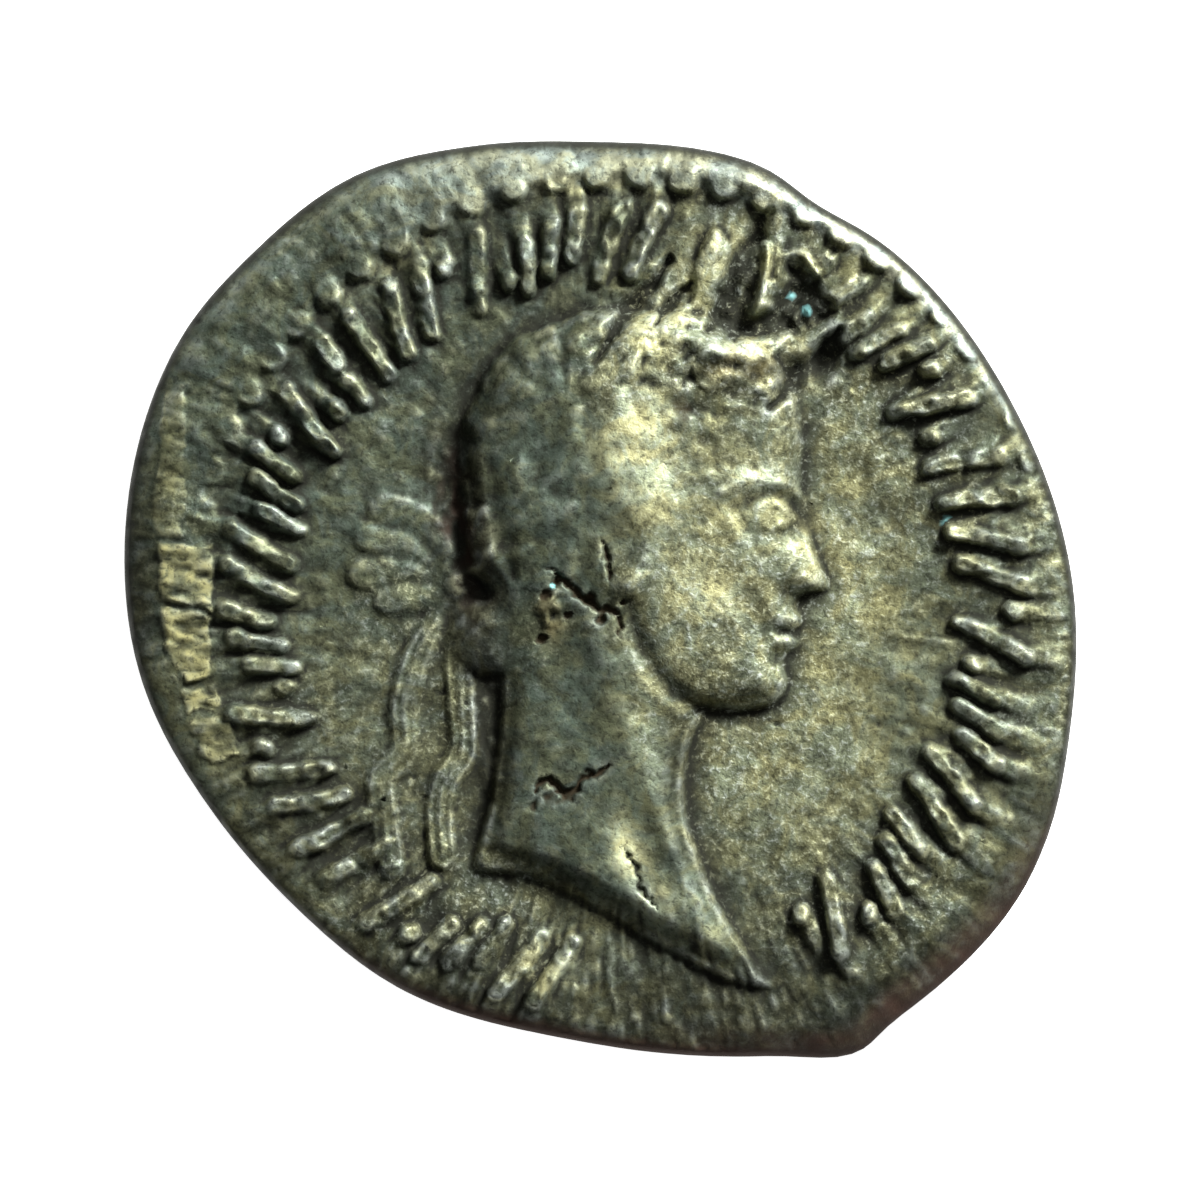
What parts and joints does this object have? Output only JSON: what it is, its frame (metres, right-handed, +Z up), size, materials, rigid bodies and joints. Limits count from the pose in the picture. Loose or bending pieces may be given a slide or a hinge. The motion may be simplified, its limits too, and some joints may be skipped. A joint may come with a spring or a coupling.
{
  "type": "denarius coin",
  "caption": "Worn struck silver denarius with an uneven flan: laureate head with ribbon ties facing right, beaded border, stroke ring, wreath reverse.",
  "frame": {"origin": "centre of the coin's outline box, on the plane it lies on", "axes": "+Z up out of the portrait side, +X to the right of the portrait, the way the head faces, +Y to the top of the head"},
  "size_m": [0.0184, 0.0178, 0.0023],
  "materials": {
    "silver": "worn silver, toned greenish grey, with dark recesses and tan deposits"
  },
  "bodies": {
    "root": {"coin": "silver"}
  },
  "joints": []
}
